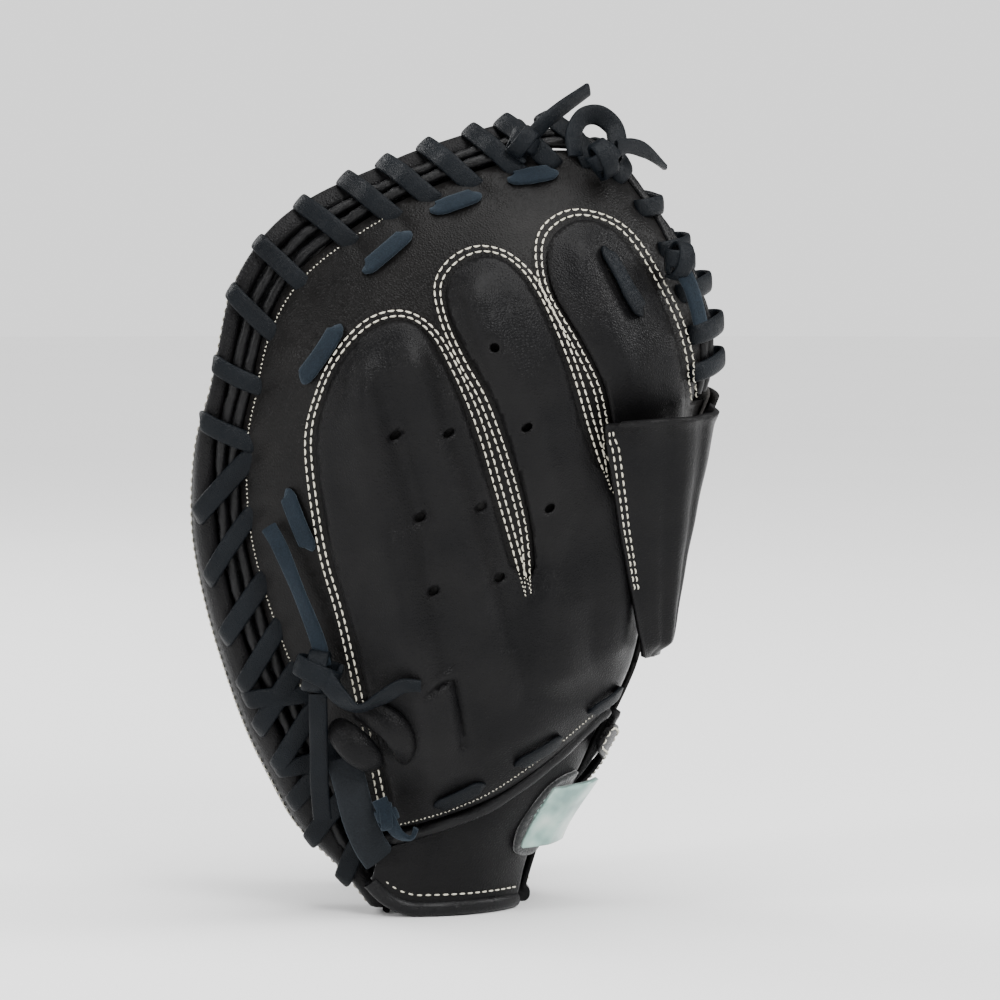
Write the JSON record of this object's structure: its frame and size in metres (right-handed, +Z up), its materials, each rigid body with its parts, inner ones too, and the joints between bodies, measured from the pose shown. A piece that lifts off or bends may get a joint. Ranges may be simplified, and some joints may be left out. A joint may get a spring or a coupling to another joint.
{
  "type": "baseball glove",
  "caption": "Black leather catcher-style mitt for the left hand, folded and standing on its wrist end, with padded rim, laced edge, finger stalls, finger pad, web and wrist strap.",
  "frame": {"origin": "bottom centre of the mitt's box, on the surface it stands on", "axes": "+Z up to the fingertips, +Y to the back of the hand and the fold, +X to the little finger side, palm opening to -Y"},
  "size_m": [0.1854, 0.2074, 0.3311],
  "materials": {
    "leather": "satin pebbled",
    "lining": "matt lining leather",
    "felt": "felt and fleece",
    "welt": "smooth, slightly glossy",
    "lace": "rawhide, suede underside",
    "patch": "satin"
  },
  "bodies": {
    "finger_side": {"curl_knot": "lace", "curl_tail": "lace", "finger_edge_lace": "lace", "finger_heel_pad": "felt", "finger_lining": "lining", "finger_opening_binding": "welt", "finger_pad": "leather", "finger_palm_leather": "leather", "finger_palm_lining": "lining", "finger_palm_pad": "felt", "finger_rim_roll": "felt", "finger_strap_binding": "welt", "finger_strap_lining": "felt", "finger_welt_inner": "welt", "finger_welt_outer": "welt", "finger_wrist_strap": "leather", "heel_knot": "lace", "heel_roll": "leather", "heel_strand": "lace", "heel_strap": "lace", "heel_tail": "lace", "heel_tail_loop": "lace", "index_lace": "lace", "index_stall": "leather", "middle_stall": "leather", "opening_lace": "lace", "outer_back_panel": "leather", "patch_backing": "felt", "pinky_ring_stall": "leather", "running_lace": "lace", "side_knot": "lace", "side_tail": "lace", "strap_patch": "patch", "top_curl": "lace", "top_knot": "lace", "top_loop": "lace", "top_tail_left": "lace", "top_tail_right": "lace"},
    "thumb_side": {"closure_hook_tape": "felt", "closure_strap": "leather", "thumb_back_panel": "leather", "thumb_edge_lace": "lace", "thumb_heel_pad": "felt", "thumb_lining": "lining", "thumb_opening_binding": "welt", "thumb_palm_leather": "leather", "thumb_palm_lining": "lining", "thumb_palm_pad": "felt", "thumb_rim_roll": "felt", "thumb_stall": "leather", "thumb_strap_binding": "welt", "thumb_strap_lining": "felt", "thumb_welt_inner": "welt", "thumb_welt_outer": "welt", "thumb_wrist_strap": "leather", "web_lace": "lace", "web_panel": "leather"},
    "closure_tab_body": {"closure_tab": "leather"}
  },
  "joints": [
    {"name": "mitt_close", "type": "hinge", "parent": "finger_side", "child": "thumb_side", "pos_m": [-0.01035, 0.0064, 0.11], "axis": [0, 0.3707, 0.9287], "range_deg": [-8, 18]},
    {"name": "closure_open", "type": "hinge", "parent": "thumb_side", "child": "closure_tab_body", "pos_m": [-0.04028, 0.01967, 0.04721], "axis": [-0.4705, -0.3702, 0.801], "range_deg": [0, 60]}
  ]
}
